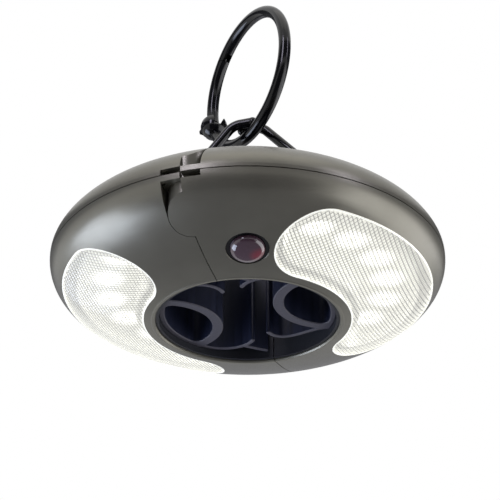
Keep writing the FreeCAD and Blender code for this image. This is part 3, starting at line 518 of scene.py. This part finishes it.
smoky, tree, shader = start("smoky_plum_acrylic", "#35222c", 0.10, IOR=1.49, Coat_Weight=0.7,
                            Coat_Roughness=0.03)
roughened(tree, shader, grain(tree, 3 * mm).outputs["Fac"], 0.08, 0.13)
place = add(tree, "ShaderNodeTexCoord")
from_lamp = add(tree, "ShaderNodeVectorMath", {1: INDICATOR_PLACE}, {0: place.outputs["Object"]},
                operation="DISTANCE")
ends = {"From Min": 1 * mm, "From Max": 5.5 * mm, "To Min": 1.0, "To Max": 0.0}
shine = add(tree, "ShaderNodeMapRange", ends, {"Value": from_lamp.outputs["Value"]},
            interpolation_type="SMOOTHSTEP")
tree.links.new(blended(tree, shine.outputs[0], "#3d2b36", "#66202e"), shader.inputs["Base Color"])

# %% Give the frame's solids their finishes
finish_of = {"housing": paint, "lens": clear, "white_plastic": tray_white, "board": board,
             "led": light_face, "carrier": moulded, "jaw_rubber": rubber, "cell_jacket": jacket,
             "steel": steel, "hook_black": polished, "button_smoke": smoky,
             "bezel_black": gloss_black}
for entry in frame["record"]["subparts"]:
    mesh = nodes[entry["node"]].data
    mesh.materials.clear()
    mesh.materials.append(finish_of[entry["material_slot"]])
print("finishes given:", len(finish_of))

# %% [markdown]
# ## Prismatic lenses
#
# Each lens is a clear cover with a polished rim and, inside the rim, rows of small square
# pyramids. The rows run along the object's X and Y axes, about 1.75 mm apart. A flat grid below
# the lamp is projected on to the form of the housing, its crossings are pushed in, and every cell
# is poked to a point. The valleys are marked, because they look darker than the pyramids; the
# lens's finish paints that darkness in as painted shade.

# %% Outline of the lens
LENS_MIDDLE_R = 72.5 * mm
LENS_HALF = 20.58 * mm
LENS_END = math.radians(45.0)
RIM_WIDTH = 0.6 * mm
PRISM_PITCH = 1.75 * mm
PRISM_DEPTH = 0.4 * mm
PLATE_THICK = 1.2 * mm
OUTLINE_LOW = -60 * mm      # well below the lamp
OUTLINE_HEIGHT = 70 * mm    # from there up through the lens
OUTLINE_WELD = 0.01 * mm


def lens_outline(name, half):
    """Upright prism with the lens's curved outline, spun from one edge and its outer half."""
    bpy.ops.mesh.primitive_plane_add(size=0.01)
    prism = named(name)
    bpy.ops.object.mode_set(mode="EDIT")
    bpy.ops.mesh.select_all(action="SELECT")
    bpy.ops.mesh.merge(type="CENTER")
    first_end = Vector((math.cos(LENS_END), -math.sin(LENS_END), 0))
    low = up * OUTLINE_LOW
    bpy.ops.transform.translate(value=first_end * (LENS_MIDDLE_R - half) + low)
    for _ in range(2):
        bpy.ops.mesh.extrude_region_move(TRANSFORM_OT_translate={"value": first_end * half})
    bpy.ops.mesh.select_all(action="SELECT")
    bpy.ops.mesh.spin(steps=60, angle=-2 * LENS_END, center=(0, 0, 0), axis=(0, 0, 1))
    for sign in (-1, 1):
        middle = Vector((math.cos(LENS_END), sign * math.sin(LENS_END), 0)) * LENS_MIDDLE_R + low
        outward = middle - low
        tip = middle + outward.normalized() * half
        select_where(prism, "VERT",
                     lambda c, v: min((c - middle).length, (c - tip).length) < 5 * OUTLINE_WELD)
        bpy.ops.mesh.spin(steps=40, angle=-sign * math.pi, center=middle, axis=(0, 0, 1))
    bpy.ops.mesh.select_all(action="SELECT")
    bpy.ops.mesh.remove_doubles(threshold=OUTLINE_WELD)
    bpy.ops.mesh.dissolve_degenerate(threshold=OUTLINE_WELD / 10)
    bpy.ops.mesh.select_all(action="SELECT")
    bpy.ops.mesh.extrude_region_move(TRANSFORM_OT_translate={"value": up * OUTLINE_HEIGHT})
    face_outwards(prism)
    return prism


# %% Form of the underside, which the prisms follow
body_form = copy_of("right_bottom_shell", "body_form")
lens_form = copy_of("right_lens", "lens_form")
deselect_everything()
lens_form.select_set(True)
body_form.select_set(True)
bpy.context.view_layer.objects.active = body_form
bpy.ops.object.join()
bpy.ops.object.mode_set(mode="EDIT")
bpy.ops.mesh.select_all(action="SELECT")
bpy.ops.mesh.convex_hull()
bpy.ops.object.mode_set(mode="OBJECT")
print("underside form:", len(body_form.data.polygons), "faces")

# %% Grid of prisms
PLATE_X = (30 * mm, 96 * mm)
PLATE_Y = 77 * mm
GRID_Z = -50 * mm           # where the grid starts, below the lamp
MISSED_Z = -45 * mm         # what is still below this has missed the lamp

bpy.ops.mesh.primitive_grid_add(x_subdivisions=round((PLATE_X[1] - PLATE_X[0]) / PRISM_PITCH),
                                y_subdivisions=round(2 * PLATE_Y / PRISM_PITCH), size=1,
                                location=((PLATE_X[0] + PLATE_X[1]) / 2, 0, GRID_Z))
bpy.context.object.scale = (PLATE_X[1] - PLATE_X[0], 2 * PLATE_Y, 1)
prisms = named("right_lens_prisms")
apply_modifier(prisms, "SHRINKWRAP", target=body_form, wrap_method="PROJECT", use_project_z=True,
               use_positive_direction=True, use_negative_direction=False)
bpy.ops.object.mode_set(mode="EDIT")
select_where(prisms, "VERT", lambda c, v: c.z < MISSED_Z)
bpy.ops.mesh.delete(type="VERT")
bpy.ops.mesh.select_all(action="SELECT")
bpy.ops.mesh.flip_normals()
bpy.ops.transform.translate(value=up * PRISM_DEPTH)
bpy.ops.mesh.poke(offset=PRISM_DEPTH)
bpy.ops.object.mode_set(mode="OBJECT")

# %% Mark the valleys
counted = bmesh.new()
counted.from_mesh(prisms.data)
crossing = [float(len(vertex.link_edges) > 4) for vertex in counted.verts]
counted.free()
valleys = prisms.data.attributes.new("valley", "FLOAT", "POINT")
valleys.data.foreach_set("value", crossing)
print("crossings marked:", int(sum(crossing)), "of", len(crossing))

# %% Thickness, outline and rim
apply_modifier(prisms, "SOLIDIFY", thickness=PLATE_THICK, offset=-1.0)
outline = lens_outline("lens_outline", LENS_HALF - RIM_WIDTH)
carve(prisms, outline, "INTERSECT")
rim = copy_of("right_lens", "right_lens_rim")
carve(rim, outline, "DIFFERENCE")
for helper in (outline, body_form):
    bpy.data.objects.remove(helper)

left_prisms = mirror_to_left(prisms, "left_lens_prisms")
left_rim = mirror_to_left(rim, "left_lens_rim")
for piece in (prisms, left_prisms):
    piece.data.materials.clear()
    finish_piece(piece, clear, piece.name.split("_")[0] + "_half", 10.0)
for piece in (rim, left_rim):
    piece.data.materials.clear()
    finish_piece(piece, rim_clear, piece.name.split("_")[0] + "_half")
for piece, node in ((prisms, "right_lens"), (rim, "right_lens"),
                    (left_prisms, "left_lens"), (left_rim, "left_lens")):
    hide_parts(node)

# %% [markdown]
# ## Rubber jaws
#
# The jaws are cut from an extruded strip, so their ends are sawn and dull. The ends are painted
# paler
# than the walls: painted light, for the light that falls on the end faces. The sawn edges are
# slightly rounded by the tumbling that takes off the burrs.

# %% Jaws with sawn, softened ends
JAW_END = 27 * mm
JAW_EDGE = 0.45 * mm
SAWN_LAYER = 0.01 * mm      # faces this near to an end are its sawn faces

for side in ("right", "left"):
    jaw = copy_of(side + "_rubber_jaw", side + "_jaw_pads")
    jaw.data.materials.clear()
    jaw.data.materials.append(rubber)
    jaw.data.materials.append(sawn_end_painted_light)
    bpy.ops.object.mode_set(mode="EDIT")
    for end in (-1, 1):
        count = select_where(jaw, "FACE", lambda c, f: abs(c.z - end * JAW_END) < SAWN_LAYER)
        # The sawn faces take the pale rubber, whose paleness is painted light
        jaw.active_material_index = 1
        bpy.ops.object.material_slot_assign()
        bpy.ops.transform.translate(value=up * -end * JAW_EDGE)
        bpy.ops.mesh.inset(thickness=JAW_EDGE, use_even_offset=True)
        bpy.ops.transform.translate(value=up * end * JAW_EDGE)
    bpy.ops.object.mode_set(mode="OBJECT")
    print(side, "jaw: sawn faces", count)
    finish_piece(jaw, rubber, side + "_half")
    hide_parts(side + "_rubber_jaw")

# %% [markdown]
# ## Power button
#
# The cap is a smoky clear moulding that stands a little out of its black surround: a shallow
# dome, a rounded edge and a straight side. Its profile is spun round, and the cap is then turned
# to lie in the housing.

# %% Spinning a profile
TURNED_WELD = 0.005 * mm


def turned(name, profile, steps=96):
    """Solid of revolution about Z from (radius, height) points that start and end on the axis."""
    bpy.ops.mesh.primitive_plane_add(size=0.01)
    piece = named(name)
    bpy.ops.object.mode_set(mode="EDIT")
    bpy.ops.mesh.select_all(action="SELECT")
    bpy.ops.mesh.merge(type="CENTER")
    bpy.ops.transform.translate(value=(profile[0][0], 0, profile[0][1]))
    for (r0, z0), (r1, z1) in zip(profile, profile[1:]):
        bpy.ops.mesh.extrude_region_move(TRANSFORM_OT_translate={"value": (r1 - r0, 0, z1 - z0)})
    bpy.ops.mesh.select_all(action="SELECT")
    bpy.ops.mesh.spin(steps=steps, angle=2 * math.pi, center=(0, 0, 0), axis=(0, 0, 1))
    bpy.ops.mesh.select_all(action="SELECT")
    bpy.ops.mesh.remove_doubles(threshold=TURNED_WELD)
    face_outwards(piece)
    return piece


# %% Cap
BUTTON_PLACE = Vector((20.98225, -64.57674, -27.20886)) * mm    # on the face of the housing
BUTTON_INWARD = Vector((-0.0827995, 0.2548307, 0.9634343))      # square to that face
CAP_FACE_OUT = 3.4 * mm
CAP_PROFILE = [(0, 0), (2.0, 0.06), (3.6, 0.2), (4.8, 0.42), (5.6, 0.66), (6.3, 0.98),
               (6.9, 1.36), (7.4, 1.78), (7.8, 2.25), (8.08, 2.8), (8.22, 3.4), (8.25, 4.0),
               (8.25, 7.0), (1.8, 7.0), (1.8, 10.7), (0, 10.7)]  # millimetres

cap = turned("power_button_cap", [(r * mm, z * mm) for r, z in CAP_PROFILE])
cap.rotation_mode = "QUATERNION"
cap.rotation_quaternion = up.rotation_difference(BUTTON_INWARD)
cap.location = BUTTON_PLACE - BUTTON_INWARD * CAP_FACE_OUT
work_on(cap)
bpy.ops.object.transform_apply(location=True, rotation=True, scale=True)
finish_piece(cap, smoky, "button", 40.0)
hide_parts("power_button")

# %% Floor and screen finishes
FLOOR_GLOW = 0.5

floor_finish, tree, shader = start("matt_white_paper", "#f0f0ee", 0.9,
                                   Emission_Color=linear("#ffffff"))
glow_seen = computed(tree, "MULTIPLY", seen_directly(tree), FLOOR_GLOW)
tree.links.new(glow_seen, shader.inputs["Emission Strength"])
tinted(tree, shader, grain(tree, 40 * mm).outputs["Fac"], "#eeeeec", "#f2f2f0")
floor.data.materials.append(floor_finish)

for cloth, tone in ((front_screen, 0.08), (low_screen, 0.26), (back_screen, 0.5), (curtain, 0.12)):
    cloth_finish, tree, shader = start(cloth.name + "_cloth", "#101010", 1.0,
                                       Emission_Color=linear("#f4f5ff"), Emission_Strength=tone)
    cloth.data.materials.append(cloth_finish)

# %% Last lines
bpy.context.scene.view_settings.view_transform = "Standard"
